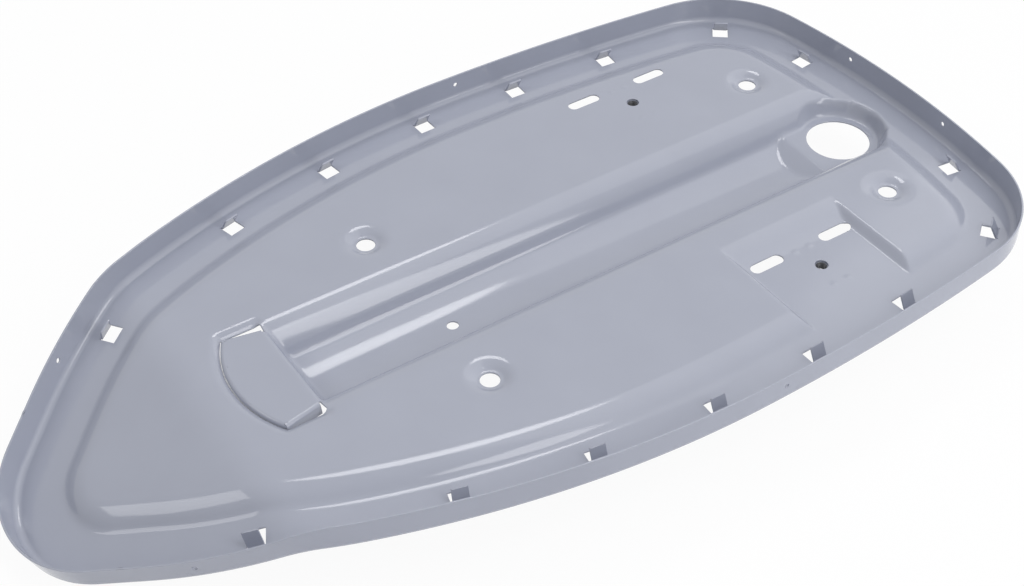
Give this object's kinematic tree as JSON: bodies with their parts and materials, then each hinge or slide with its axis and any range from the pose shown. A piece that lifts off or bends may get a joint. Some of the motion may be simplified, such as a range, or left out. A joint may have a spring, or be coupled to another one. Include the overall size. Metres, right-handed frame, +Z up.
{
  "type": "seat base pan",
  "caption": "Pressed sheet-steel base pan for a moped or scooter seat, with an upturned rim, cover claws, a bent-down nose, a centre channel with a latch hole and weld nuts underneath.",
  "frame": {"origin": "middle of the four buffer holes, on the floor of their dishes", "axes": "+X to the wide rear end, +Y to the rider's right, +Z up, out of the pan's open side"},
  "size_m": [0.5457, 0.294, 0.0523],
  "materials": {
    "coated_steel": "semi-gloss grey dip coat",
    "coated_nut": "semi-gloss grey dip coat"
  },
  "bodies": {
    "root": {"base_pan": "coated_steel", "weld_nuts": "coated_nut"}
  },
  "joints": []
}
